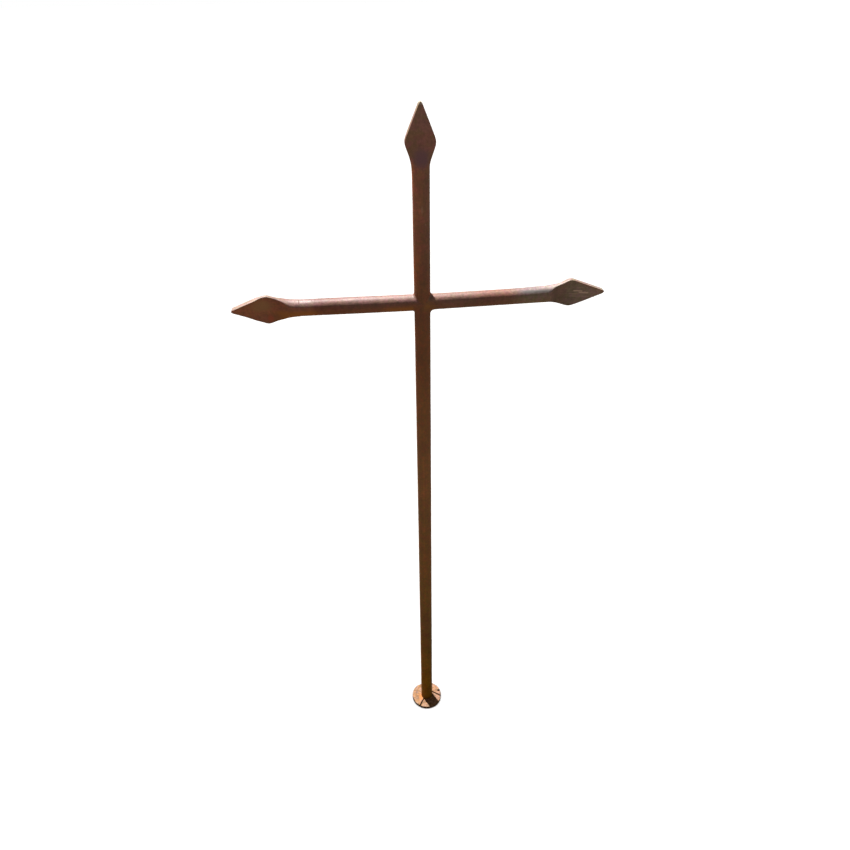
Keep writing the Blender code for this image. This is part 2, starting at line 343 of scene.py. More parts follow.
def make_arm(name, direction, reach, radius, rise, welds, spear_data, seed):
    steps = (8, 4, 16)
    around = 4 * sum(steps)
    below, above = welds
    fit = UPRIGHT_RADIUS - 0.00004
    widest = max(welds)
    spear = spear_rings(spear_data, radius, steps, 0.00065)
    bar_end = reach - spear[0][0]
    fade_start, fade_end = fit + widest, fit + 0.020
    ring, _ = section(radius / UNIT, radius / UNIT, radius / UNIT,
                      radius / UNIT * 0.9985, 1.0, 1.0, steps)
    ring = ring * UNIT
    turn = np.linspace(0.0, 1.0, 16)
    stations = list(fit + widest * (1 - np.cos(turn * math.pi / 2)))
    stations += list(np.linspace(fade_start, bar_end, int((bar_end - fade_start) / 0.0008)))[1:-1]
    grid, edge_wear_and_sheen, tipward = [], [], []
    for x in stations:
        fade = 1.0 - float(smooth_step(x, fade_start, fade_end))
        # the bar is dressed down to the upright's thickness at the weld
        waist = 1.0 + (UPRIGHT_RADIUS * 0.9995 / radius - 1.0) * (1 - float(smooth_step(x, fit, fit + 0.012)))
        u, v = ring[:, 0] * waist, ring[:, 1] * waist
        hollow = fit - np.sqrt(np.maximum(fit ** 2 - np.minimum(np.abs(v), fit) ** 2, 0.0))
        flare = np.zeros(len(u))
        for sign, weld in ((1, above), (-1, below)):
            d = x - fit
            lift = weld - math.sqrt(max(weld ** 2 - (weld - d) ** 2, 0.0)) if d < weld else 0.0
            flare = np.where(np.sign(u) == sign, lift, flare)
        grid.append(np.stack([x - hollow * fade, v, u * (1.0 + flare / radius)], 1))
        edge_wear_and_sheen.append(np.zeros(len(u)))
        tipward.append(reach - x)
    for s, points, edges, flatness in spear:
        grid.append(np.stack([np.full(len(points), reach - s), points[:, 1], points[:, 0]], 1))
        edge_wear_and_sheen.append(edges)
        tipward.append(s)
    grid, edge_wear_and_sheen = np.array(grid), np.array(edge_wear_and_sheen)
    tipward = np.array(tipward)[:, None]
    normal = grid_normals(grid)
    if ((normal[..., 1:] * grid[..., 1:]).sum(-1)).mean() < 0:
        normal = -normal
    out = reach - tipward
    calm = smooth_step(out, 0.0120, 0.024) * smooth_step(tipward, 0.0, 0.004)
    height = relief(grid, (1, 0, 0), seed, calm)
    # the ground weld keeps a slightly uneven skin
    skin = smooth_step(out, 0.0102, 0.0120) * (1 - smooth_step(out, 0.016, 0.024))
    height = height + skin * 0.00009 * MIDDLE(grid / 0.0035 + seed)
    grid = grid + normal * height[..., None]
    slope = math.tan(rise)
    grid[..., 2] += ARM_HEIGHT + slope * grid[..., 0]
    grid[..., 0] *= direction
    return make_grid_piece(name, grid, edge_wear_and_sheen, flip=direction > 0)


def segment_distance(points, a, b):
    a, b = np.array(a), np.array(b)
    d = b - a
    t = np.clip(((points - a) @ d) / (d @ d), 0.0, 1.0)
    return np.linalg.norm(points - (a + t[:, None] * d), axis=1), t


MARK_FRONT = [(-0.26, -0.33), (-0.50, -0.70), (-0.62, -0.885), (-0.87, -1.275)]
MARK_SIDE = [(0.52, 0.27), (0.80, 0.085), (1.10, -0.115), (1.24, -0.235), (1.46, -0.455)]
PIT = (1.20, 0.31)


def plate_radius(angle):
    """The plate was cut by hand: a flatter place at the back left and a
    slightly fuller one at the front right."""
    def around(centre, spread):
        turn = (angle - math.radians(centre) + math.pi) % (2 * math.pi) - math.pi
        return np.exp(-(turn / math.radians(spread)) ** 2)
    return PLATE_RADIUS - 0.0017 * around(110, 17) - 0.0005 * around(58, 16) + 0.0005 * around(-52, 24)


def mark_width(points, narrow, wide):
    """The marks widen from the upright towards the rim."""
    return narrow + (wide - narrow) * smooth_step(np.linalg.norm(points[:, :2], axis=1), 0.010, 0.026)


def mark_distance(points, path):
    best = np.full(len(points), 9.0)
    for a, b in zip(path, path[1:]):
        d, _ = segment_distance(points, np.array(a) * UNIT, np.array(b) * UNIT)
        best = np.minimum(best, d)
    return best


def make_foot_plate():
    """Round plate: top, rim and flat underside in one closed mesh."""
    rim_points = 300
    edge_round = 0.00055
    inner = PLATE_RADIUS + 0.0005 - edge_round
    rng = np.random.default_rng(5)
    # top: points close together on the marks, the pit and the worn edge
    spots = []
    step = 0.00062
    rows = int(2 * inner / (step * 0.866)) + 2
    for r in range(rows):
        y = -inner + r * step * 0.866
        x = np.arange(-inner, inner, step) + (step / 2 if r % 2 else 0)
        spots.append(np.stack([x, np.full_like(x, y)], 1))
    base = np.concatenate(spots)
    fine = 0.00022
    fx, fy = np.meshgrid(np.arange(-inner, inner, fine), np.arange(-inner, inner, fine))
    dense = np.stack([fx.ravel(), fy.ravel()], 1)
    wobble = 0.00010 * np.stack([FINE(np.c_[dense / 0.003, np.zeros(len(dense))]),
                                 FINE(np.c_[dense / 0.003, np.ones(len(dense))])], 1)
    pit_d = np.linalg.norm(dense - np.array(PIT) * UNIT, axis=1)
    close = (np.minimum(mark_distance(dense, MARK_FRONT), mark_distance(dense, MARK_SIDE)) < 0.0021) | (pit_d < 0.0031)
    dense = dense[close] + wobble[close] * 0.0 + rng.normal(scale=1e-6, size=(close.sum(), 2))
    base_d = np.minimum(np.minimum(mark_distance(base, MARK_FRONT), mark_distance(base, MARK_SIDE)), 9)
    pit_b = np.linalg.norm(base - np.array(PIT) * UNIT, axis=1)
    base = base[(base_d > 0.0022) & (pit_b > 0.0032)]
    points = np.concatenate([base, dense])
    away = np.linalg.norm(points, axis=1)
    limit = plate_radius(np.arctan2(points[:, 1], points[:, 0])) - edge_round
    points = points[(away < limit - 0.00030) & (away > 0.0060)]
    angle = np.arange(rim_points) * 2 * math.pi / rim_points
    rim = plate_radius(angle)
    inner = rim - edge_round
    outer = np.stack([inner * np.cos(angle), inner * np.sin(angle)], 1)
    # a few points under the upright, where nothing shows
    hidden = np.stack([0.0045 * np.cos(angle[::25]), 0.0045 * np.sin(angle[::25])], 1)
    everything = np.concatenate([outer, points, hidden, [[0.0, 0.0]]])
    loop = [(i, (i + 1) % rim_points) for i in range(rim_points)]
    verts, _, faces, _, _, _ = delaunay_2d_cdt(
        [Vector(p) for p in everything], loop, [], 1, 1e-7)
    top = np.array([[v.x, v.y] for v in verts])
    faces = np.array([list(f) for f in faces])
    # make sure that every face looks up
    a, b, c = top[faces[:, 0]], top[faces[:, 1]], top[faces[:, 2]]
    area = (b[:, 0] - a[:, 0]) * (c[:, 1] - a[:, 1]) - (b[:, 1] - a[:, 1]) * (c[:, 0] - a[:, 0])
    faces[area < 0] = faces[area < 0][:, ::-1]
    at_edge = {}
    for i, p in enumerate(top):
        k = int(round(math.atan2(p[1], p[0]) / (2 * math.pi) * rim_points)) % rim_points
        if np.hypot(*p) > inner[k] - 0.0001:
            at_edge[k] = i
    flat3 = np.c_[top, np.zeros(len(top))]
    height = (0.00010 * SLOW(flat3 / 0.012 + 4.1) + 0.00007 * MIDDLE(flat3 / 0.0045 + 9.3)
              + 0.00004 * FINE(flat3 / 0.0018 + 2.2) - 0.00016)
    crevice = np.zeros(len(top))
    for path, narrow, wide, depth, seed in ((MARK_FRONT, 0.00135, 0.00168, 0.0015, 1.0),
                                            (MARK_SIDE, 0.00150, 0.00148, 0.0014, 6.0)):
        d = mark_distance(top, path)
        ragged = mark_width(top, narrow, wide) * (1.0 + 0.30 * FINE(flat3 / 0.0026 + seed))
        groove = 1.0 - smooth_step(d, ragged * 0.35, ragged)
        height = height - depth * groove
        crevice = np.maximum(crevice, groove)
    d = np.linalg.norm(top - np.array(PIT) * UNIT, axis=1)
    pit = 1.0 - smooth_step(d, 0.0013, 0.0025)
    height = height - 0.0022 * pit
    crevice = np.maximum(crevice, pit)
    z_top = PLATE_THICKNESS + height
    vertices = [np.c_[top, z_top]]
    crevices = [crevice]
    # the rim: a worn edge, a slightly uneven wall, a worn lower edge
    ring_top = np.array([at_edge[k] for k in range(rim_points)])
    edge_z = z_top[ring_top]
    edge_c = crevice[ring_top]
    profile = []
    for t in np.linspace(0, math.pi / 2, 6)[1:]:
        profile.append((inner + edge_round * math.sin(t), -edge_round * (1 - math.cos(t)), 1.0))
    for t in np.linspace(0, 1, 12)[1:-1]:
        profile.append((rim, t, 2.0))
    for t in np.linspace(0, math.pi / 2, 6):
        profile.append((inner + edge_round * math.cos(t), edge_round * (1 - math.sin(t)), 3.0))
    direction = np.stack([np.cos(angle), np.sin(angle)], 1)
    rings = []
    for r, h, kind in profile:
        if kind == 1.0:
            z = edge_z + h
        elif kind == 2.0:
            z = (edge_z - edge_round) * (1 - h) + edge_round * h
        else:
            z = np.full(rim_points, h)
        p3 = np.c_[direction * r[:, None], z]
        dent = 0.00016 * (SLOW(p3 / 0.010 + 3.3) - 0.8) + 0.00006 * (MIDDLE(p3 / 0.0030 + 1.7) - 0.8)
        dent = np.minimum(dent, 0.0)
        if kind == 3.0 and h < 1e-9:
            dent = dent * 0
        radius = r + dent - 0.0014 * edge_c * (1.0 if kind != 3.0 else 0.4)
        rings.append(np.c_[direction * radius[:, None], z])
        crevices.append(edge_c * 0.8)
    offset = len(top)
    for ring in rings:
        vertices.append(ring)
    vertices.append(np.array([[0.0, 0.0, 0.0]]))
    crevices.append(np.zeros(1))
    vertices = np.concatenate(vertices)
    crevices = np.concatenate(crevices)
    polygons = [tuple(f) for f in faces]
    previous = ring_top
    for n in range(len(rings)):
        current = offset + n * rim_points + np.arange(rim_points)
        for k in range(rim_points):
            m = (k + 1) % rim_points
            polygons.append((previous[k], current[k], current[m], previous[m]))
        previous = current
    centre = len(vertices) - 1
    for k in range(rim_points):
        m = (k + 1) % rim_points
        polygons.append((previous[k], centre, previous[m]))
    mesh = bpy.data.meshes.new("foot_disc")
    mesh.from_pydata([tuple(v) for v in vertices], [], [tuple(int(i) for i in p) for p in polygons])
    mesh.validate()
    layer = mesh.attributes.new("crevice", "FLOAT", "POINT")
    layer.data.foreach_set("value", crevices.astype(np.float32))
    mesh.shade_smooth()
    piece = bpy.data.objects.new("foot_disc", mesh)
    bpy.context.collection.objects.link(piece)
    return piece


# ---------------------------------------------------------------- materials
# patina along each bar: (place in metres, colour)
UPRIGHT_TONES = [
    # darker at the very foot, where the upright meets the plate
    (0.006, (0.150, 0.070, 0.006)), (0.020, (0.225, 0.112, 0.004)), (0.060, (0.235, 0.118, 0.003)),
    (0.100, (0.235, 0.118, 0.010)), (0.223, (0.190, 0.103, 0.028)), (0.290, (0.235, 0.122, 0.022)),
    (0.407, (0.250, 0.112, 0.020)), (0.562, (0.272, 0.122, 0.025)), (0.764, (0.224, 0.071, 0.006)),
    (0.839, (0.212, 0.069, 0.014)), (0.883, (0.214, 0.080, 0.030)), (0.956, (0.255, 0.109, 0.060)),
    (1.001, (0.265, 0.112, 0.064)), (1.037, (0.290, 0.150, 0.110)), (1.065, (0.270, 0.160, 0.110))]
LEFT_TONES = [
    (-0.237, (0.375, 0.144, 0.072)), (-0.222, (0.380, 0.142, 0.056)), (-0.202, (0.365, 0.140, 0.056)),
    (-0.187, (0.330, 0.116, 0.050)), (-0.178, (0.290, 0.094, 0.044)), (-0.166, (0.315, 0.106, 0.052)),
    (-0.158, (0.358, 0.130, 0.060)), (-0.143, (0.350, 0.128, 0.058)), (-0.133, (0.208, 0.076, 0.046)),
    (-0.105, (0.184, 0.068, 0.042)), (-0.070, (0.190, 0.070, 0.040)), (-0.032, (0.205, 0.074, 0.044)),
    (-0.012, (0.212, 0.070, 0.026))]
RIGHT_TONES = [
    (0.012, (0.235, 0.086, 0.030)), (0.028, (0.215, 0.098, 0.062)), (0.095, (0.195, 0.093, 0.060)),
    (0.112, (0.205, 0.105, 0.066)), (0.121, (0.240, 0.160, 0.098)), (0.135, (0.234, 0.196, 0.142)),
    (0.155, (0.246, 0.196, 0.160)), (0.166, (0.236, 0.170, 0.132)), (0.1715, (0.150, 0.108, 0.084)),
    (0.180, (0.196, 0.138, 0.104)), (0.192, (0.220, 0.180, 0.150)), (0.215, (0.255, 0.205, 0.190)),
    (0.236, (0.330, 0.235, 0.210))]
# painted light: the same where the surface faces up and is lit, a lit copy of each bar's patina
LEFT_LIT_TOP = [
    (-0.237, (0.228, 0.156, 0.130)), (-0.222, (0.265, 0.176, 0.142)), (-0.204, (0.285, 0.210, 0.172)),
    (-0.187, (0.280, 0.190, 0.150)), (-0.174, (0.205, 0.108, 0.088)), (-0.150, (0.210, 0.116, 0.100)),
    (-0.130, (0.190, 0.094, 0.078)), (-0.080, (0.196, 0.094, 0.076)), (-0.055, (0.218, 0.106, 0.084)),
    (-0.025, (0.216, 0.106, 0.086)), (-0.012, (0.210, 0.100, 0.080))]
RIGHT_LIT_TOP = [
    (0.012, (0.215, 0.110, 0.076)), (0.070, (0.208, 0.102, 0.072)), (0.110, (0.212, 0.088, 0.060)),
    (0.125, (0.215, 0.130, 0.112)), (0.138, (0.235, 0.168, 0.166)), (0.166, (0.255, 0.200, 0.195)),
    (0.176, (0.240, 0.180, 0.170)), (0.187, (0.230, 0.165, 0.140)), (0.195, (0.245, 0.180, 0.140)),
    (0.236, (0.260, 0.208, 0.186))]
UPRIGHT_LIT_TOP = [(0.900, (0.250, 0.110, 0.060)), (1.000, (0.250, 0.125, 0.080)), (1.030, (0.330, 0.250, 0.180)),
               (1.065, (0.350, 0.280, 0.210))]
PLATE_TAN = (0.240, 0.112, 0.022)
PLATE_ROSE = (0.242, 0.118, 0.068)


class Nodes:
    """Short names for building a node tree."""

    def __init__(self, name):
        self.material = bpy.data.materials.new(name)
        self.material.use_nodes = True
        self.tree = self.material.node_tree
        self.shader = self.tree.nodes["Principled BSDF"]
        self.position = self.tree.nodes.new("ShaderNodeTexCoord").outputs["Object"]

    def add(self, kind, **settings):
        node = self.tree.nodes.new(kind)
        for key, value in settings.items():
            setattr(node, key, value)
        return node

    def link(self, a, b):
        self.tree.links.new(a, b)

    def put(self, socket, value):
        if hasattr(value, "links"):
            self.link(value, socket)
        elif isinstance(value, tuple) and len(value) == 3 and socket.type == "RGBA":
            socket.default_value = (*value, 1.0)
        else:
            socket.default_value = value

    def math(self, operation, a, b=0.0, c=0.0, clamp=False):
        node = self.add("ShaderNodeMath", operation=operation, use_clamp=clamp)
        self.put(node.inputs[0], a)
        self.put(node.inputs[1], b)
        self.put(node.inputs[2], c)
        return node.outputs[0]

    def mapping(self, scale=(1, 1, 1), rotation=(0, 0, 0), location=(0, 0, 0), source=None):
        node = self.add("ShaderNodeMapping")
        node.inputs["Scale"].default_value = scale
        node.inputs["Rotation"].default_value = rotation
        node.inputs["Location"].default_value = location
        self.link(source or self.position, node.inputs["Vector"])
        return node.outputs["Vector"]

    def noise(self, scale, detail=3.0, roughness=0.5, source=None, distortion=0.0):
        node = self.add("ShaderNodeTexNoise")
        self.link(source or self.position, node.inputs["Vector"])
        node.inputs["Scale"].default_value = scale
        node.inputs["Detail"].default_value = detail
        node.inputs["Roughness"].default_value = roughness
        node.inputs["Distortion"].default_value = distortion
        return node.outputs["Fac"]

    def range(self, value, low, high, to_low=0.0, to_high=1.0, smooth=True):
        node = self.add("ShaderNodeMapRange")
        node.interpolation_type = "SMOOTHSTEP" if smooth else "LINEAR"
        node.clamp = True
        self.put(node.inputs["Value"], value)
        self.put(node.inputs["From Min"], low)
        self.put(node.inputs["From Max"], high)
        self.put(node.inputs["To Min"], to_low)
        self.put(node.inputs["To Max"], to_high)
        return node.outputs["Result"]

    def mix(self, factor, a, b, blend="MIX"):
        node = self.add("ShaderNodeMix", data_type="RGBA", blend_type=blend)
        node.clamp_factor = True
        self.put(node.inputs["Factor"], factor)
        self.put(node.inputs[6], a)
        self.put(node.inputs[7], b)
        return node.outputs[2]

    def multiply(self, a, b):
        return self.mix(1.0, a, b, "MULTIPLY")

    def ramp(self, value, low, high, stops):
        """Colour that changes along a length; stops are (place, colour)."""
        node = self.add("ShaderNodeValToRGB")
        elements = node.color_ramp.elements
        elements.remove(elements[1])
        for number, (place, colour) in enumerate(stops):
            at = (place - low) / (high - low)
            element = elements.new(at) if number else elements[0]
            element.position = at
            element.color = (*colour, 1.0)
        self.link(self.range(value, low, high, smooth=False), node.inputs["Fac"])
        return node.outputs["Color"]

    def attribute(self, name):
        node = self.add("ShaderNodeAttribute", attribute_name=name)
        return node.outputs["Fac"]

    def near(self, centre, radius, soft, squash=(1, 1, 1)):
        """1 within radius of a point, 0 from radius + soft on."""
        shifted = self.add("ShaderNodeVectorMath", operation="SUBTRACT")
        self.link(self.position, shifted.inputs[0])
        shifted.inputs[1].default_value = centre
        scaled = self.add("ShaderNodeVectorMath", operation="MULTIPLY")
        self.link(shifted.outputs[0], scaled.inputs[0])
        scaled.inputs[1].default_value = squash
        length = self.add("ShaderNodeVectorMath", operation="LENGTH")
        self.link(scaled.outputs[0], length.inputs[0])
        return self.range(length.outputs["Value"], radius, radius + soft, 1.0, 0.0)


def iron(name, axis, low, high, stops, lit_top_stops, level, roughness, hue_scale, hue_depth, extras=None):
    """Dark brown patinated wrought iron.  stops are (place along the bar in
    metres, colour), lit_top_stops the same where the surface faces up: a
    painted lit copy of the patina; over that lie soft blotches of redder and
    more olive brown, faint drawn streaks, fine pitting and paler rubbed
    edges, those facing up and to the left with a painted highlight."""
    seed = 1.0
    n = Nodes(name)
    split = n.add("ShaderNodeSeparateXYZ")
    n.link(n.position, split.inputs[0])
    facing = n.add("ShaderNodeSeparateXYZ")
    n.link(n.add("ShaderNodeNewGeometry").outputs["Normal"], facing.inputs[0])
    # painted light: faces turned up take the lit-top colours, a lit copy of the patina
    upward = n.range(facing.outputs["Z"], 0.20, 0.62)
    colour = n.mix(upward, n.ramp(split.outputs[axis], low, high, stops),
                   n.ramp(split.outputs[axis], low, high, lit_top_stops))
    shift = n.mapping(location=(seed, seed * 0.7, seed * 1.3))
    blotch = n.noise(30.0, 3.0, 0.5, shift)
    hue = n.noise(hue_scale, 3.0, 0.55, n.mapping(location=(seed * 2.1, 4.0, seed)), 0.3)
    mottle = n.noise(210.0, 4.0, 0.6, shift, 0.4)
    speck = n.noise(430.0, 3.0, 0.6, n.mapping(location=(1.3, seed, 2.9)))
    stretch = [1.0, 1.0, 1.0]
    stretch[axis] = 0.09
    streak = n.noise(430.0, 3.0, 0.6, n.mapping(scale=tuple(stretch), location=(seed, 0, seed)))
    grain = n.noise(1150.0, 2.0, 0.7, shift)
    colour = n.multiply(colour, n.mix(n.range(blotch, 0.34, 0.66), (0.90, 0.90, 0.92), (1.10, 1.10, 1.08)))
    redder = tuple(1.0 + hue_depth * v for v in (0.12, -0.07, 0.13))
    greener = tuple(1.0 + hue_depth * v for v in (-0.08, 0.05, -0.24))
    colour = n.multiply(colour, n.mix(n.range(hue, 0.38, 0.64), greener, redder))
    colour = n.multiply(colour, n.mix(n.range(speck, 0.34, 0.68), (0.90, 0.89, 0.88), (1.12, 1.13, 1.14)))
    colour = n.multiply(colour, n.mix(n.range(mottle, 0.32, 0.70), (0.86, 0.84, 0.82), (1.15, 1.16, 1.18)))
    colour = n.multiply(colour, n.mix(n.range(streak, 0.35, 0.70), (0.93, 0.93, 0.92), (1.09, 1.08, 1.08)))
    fleck = n.mix(n.range(n.noise(320.0, 2.0, 0.5, n.mapping(location=(5.0, seed, 0.6))), 0.36, 0.64),
                  (0.84, 0.83, 0.81), (1.16, 1.17, 1.19))
    colour = n.multiply(colour, n.mix(upward, (1, 1, 1), fleck))
    if extras:
        # the single marks are on the front; the back (+Y) is plainer
        plain = n.mix(0.6, colour, (0.235, 0.105, 0.045))
        front = n.range(facing.outputs["Y"], 0.60, 0.85, 1.0, 0.0)
        colour = n.mix(front, plain, extras(n, colour, split, mottle, upward))
    # paler edges: rubbed wear everywhere, plus a painted highlight on the edges that face up and to the left, towards
    # the key light
    edge_wear_and_sheen = n.math("MULTIPLY", n.attribute("edge_wear_and_sheen"), n.range(n.noise(240.0, 3.0, 0.6, shift), 0.38, 0.60, 0.35, 1.0))
    key_lit_side = n.math("MAXIMUM", n.range(facing.outputs["Z"], -0.05, 0.30), n.range(facing.outputs["X"], -0.50, -0.10, 1.0, 0.0))
    edge_wear_and_sheen = n.math("MULTIPLY", edge_wear_and_sheen, n.math("MULTIPLY_ADD", key_lit_side, 0.85, 0.15))
    colour = n.mix(n.math("MULTIPLY", edge_wear_and_sheen, 0.50), colour, (0.40, 0.29, 0.21))
    n.put(n.shader.inputs["Base Color"], colour)
    n.put(n.shader.inputs["Specular IOR Level"], level(n, split) if callable(level) else level)
    rough = n.math("ADD", n.range(mottle, 0.3, 0.7, roughness - 0.05, roughness + 0.06),
                   n.range(grain, 0.3, 0.7, -0.03, 0.04))
    rough = n.math("SUBTRACT", rough, n.math("MULTIPLY", edge_wear_and_sheen, 0.08))
    n.put(n.shader.inputs["Roughness"], rough)
    height = n.math("ADD", n.math("MULTIPLY", mottle, 0.9), n.math("MULTIPLY", grain, 0.35))
    height = n.math("ADD", height, n.math("MULTIPLY", streak, 0.35))
    bump = n.add("ShaderNodeBump")
    bump.inputs["Strength"].default_value = 0.55
    bump.inputs["Distance"].default_value = 0.00035
    n.link(height, bump.inputs["Height"])
    n.link(bump.outputs["Normal"], n.shader.inputs["Normal"])
    return n.material


def weld_stain_and_glow(n, colour, mottle):
    # the weld's rusty scale at the crossing, with painted reflected light on the weld in shade
    scale = n.near((0.0075, -0.010, ARM_HEIGHT - 0.0025), 0.0025, 0.0085)
    return n.mix(n.math("MULTIPLY", scale, n.range(mottle, 0.35, 0.62, 0.25, 0.85)), colour, (0.290, 0.134, 0.018))


def upright_extras(n, colour, split, mottle, upward):
    colour = weld_stain_and_glow(n, colour, mottle)
    x, z = split.outputs["X"], split.outputs["Z"]
    # painted light: lighter and redder on its left side high up and near the foot, where the key light grazes it;
    # painted shade: duller on its right
    left = n.range(x, -0.0100, 0.0030, 1.0, 0.0, smooth=False)
    right = n.range(x, -0.0005, 0.0090, smooth=False)
    upper = n.math("MULTIPLY", n.range(z, 0.840, 0.895), n.range(z, 0.985, 1.020, 1.0, 0.0))
    lower = n.range(z, 0.190, 0.330, 1.0, 0.0)
    colour = n.multiply(colour, n.mix(n.math("MULTIPLY", left, upper), (1, 1, 1), (1.50, 1.26, 1.18)))
    colour = n.multiply(colour, n.mix(n.math("MULTIPLY", left, lower), (1, 1, 1), (1.26, 1.14, 0.95)))
    colour = n.multiply(colour, n.mix(n.math("MULTIPLY", right, n.math("MAXIMUM", upper, lower)),
                                      (1, 1, 1), (0.84, 0.92, 0.96)))
    # a faint rubbed line down the front of the lower half
    line = n.range(n.math("ABSOLUTE", n.math("ADD", x, 0.0018)), 0.0006, 0.0022, 1.0, 0.0)
    line = n.math("MULTIPLY", line, n.math("MULTIPLY", n.range(z, 0.26, 0.31), n.range(z, 0.56, 0.64, 1.0, 0.0)))
    colour = n.multiply(colour, n.mix(line, (1, 1, 1), (1.17, 1.12, 1.10)))
    # two tiny nicks below the point
    nick = n.math("MAXIMUM", n.near((0.0040, -0.0096, 0.9380), 0.0005, 0.0008, (1.0, 0.0, 1.0)),
                  n.near((0.0000, -0.0102, 0.9560), 0.0005, 0.0014, (1.0, 0.0, 0.28)))
    colour = n.mix(n.math("MULTIPLY", nick, 0.45), colour, (0.44, 0.28, 0.20))
    # painted light: orange along the left side just above the crossing, where the key light falls
    glow = n.math("MULTIPLY", n.range(z, 0.842, 0.856), n.range(z, 0.884, 0.905, 1.0, 0.0))
    glow = n.math("MULTIPLY", glow, n.range(x, -0.0092, -0.0012, 1.0, 0.0))
    colour = n.multiply(colour, n.mix(glow, (1, 1, 1), (1.30, 1.24, 0.42)))
    # and a painted highlight: a thin orange line along its left side higher up, where the key light grazes the edge
    line = n.math("MULTIPLY", n.range(x, -0.0102, -0.0078, 1.0, 0.0), n.range(z, 0.966, 0.980))
    line = n.math("MULTIPLY", line, n.range(z, 1.003, 1.012, 1.0, 0.0))
    colour = n.multiply(colour, n.mix(line, (1, 1, 1), (1.45, 1.22, 0.75)))
    # heat tint where the bar runs into the flat point
    tint = n.math("MULTIPLY", n.range(z, TOTAL_HEIGHT - 0.071, TOTAL_HEIGHT - 0.060),
                  n.range(z, TOTAL_HEIGHT - 0.054, TOTAL_HEIGHT - 0.043, 1.0, 0.0))
    middle = n.math("MULTIPLY", tint, n.near((0.0005, -0.010, TOTAL_HEIGHT - 0.058), 0.003, 0.010, (1.0, 0.0, 0.35)))
    return n.mix(n.math("MULTIPLY", middle, 0.9), colour, (0.200, 0.092, 0.122))


def upright_level(n, split):
    # matt with dirt and rust near the foot
    return n.range(split.outputs["Z"], 0.05, 0.60, 0.10, 0.95)


def left_level(n, split):
    stops = [(-0.237, 0.68), (-0.205, 0.86), (-0.185, 0.82), (-0.166, 0.74), (-0.158, 0.86), (-0.144, 0.86), (-0.134, 0.52), (-0.112, 0.54),
             (-0.088, 0.90), (-0.012, 0.95)]
    return n.ramp(split.outputs["X"], -LEFT_ARM_REACH, 0.0, [(x, (v, v, v)) for x, v in stops])


def right_level(n, split):
    stops = [(0.012, 0.88), (0.062, 0.84), (0.080, 0.60), (0.100, 0.70), (0.120, 0.84), (0.166, 0.84), (0.176, 0.84),
             (0.190, 0.76), (0.202, 0.84), (0.236, 0.84)]
    return n.ramp(split.outputs["X"], 0.0, RIGHT_ARM_REACH, [(x, (v, v, v)) for x, v in stops])


def left_extras(n, colour, split, mottle, upward):
    x = split.outputs["X"]
    z = n.math("ADD", split.outputs["Z"], n.math("MULTIPLY_ADD", x, math.tan(LEFT_ARM_RISE), -ARM_HEIGHT))
    # orange along the underside of the bar, most at its two ends: rust with painted light bounced up from the ground
    below = n.range(z, -0.0040, 0.0022, 1.0, 0.0)
    ends = n.math("MAXIMUM", n.range(x, -0.145, -0.125, 1.0, 0.0), n.range(x, -0.058, -0.038))
    ends = n.math("MULTIPLY", n.range(x, -0.200, -0.175), n.math("MULTIPLY_ADD", ends, 0.62, 0.12))
    ends = n.math("MULTIPLY", ends, n.range(x, -0.0150, -0.0095, 1.0, 0.15))
    colour = n.mix(n.math("MULTIPLY", below, ends), colour, (0.400, 0.148, 0.001))
    # olive brown in the upper middle of the point, darker along its lower edge
    olive = n.near((-0.2020, -0.004, ARM_HEIGHT + 0.0075), 0.0030, 0.0080, (0.62, 0.0, 1.0))
    colour = n.mix(n.math("MULTIPLY", olive, 0.85), colour, (0.365, 0.196, 0.072))
    lower = n.math("MULTIPLY", n.range(z, -0.0105, -0.0005, 1.0, 0.0), n.range(x, -0.185, -0.172, 1.0, 0.0))
    colour = n.multiply(colour, n.mix(lower, (1, 1, 1), (0.76, 0.77, 0.94)))
    # a red stain low on the point
    return n.mix(n.near((-0.1925, -0.005, ARM_HEIGHT - 0.0100), 0.0014, 0.0044, (1.0, 0.0, 0.8)),
                 colour, (0.400, 0.088, 0.030))


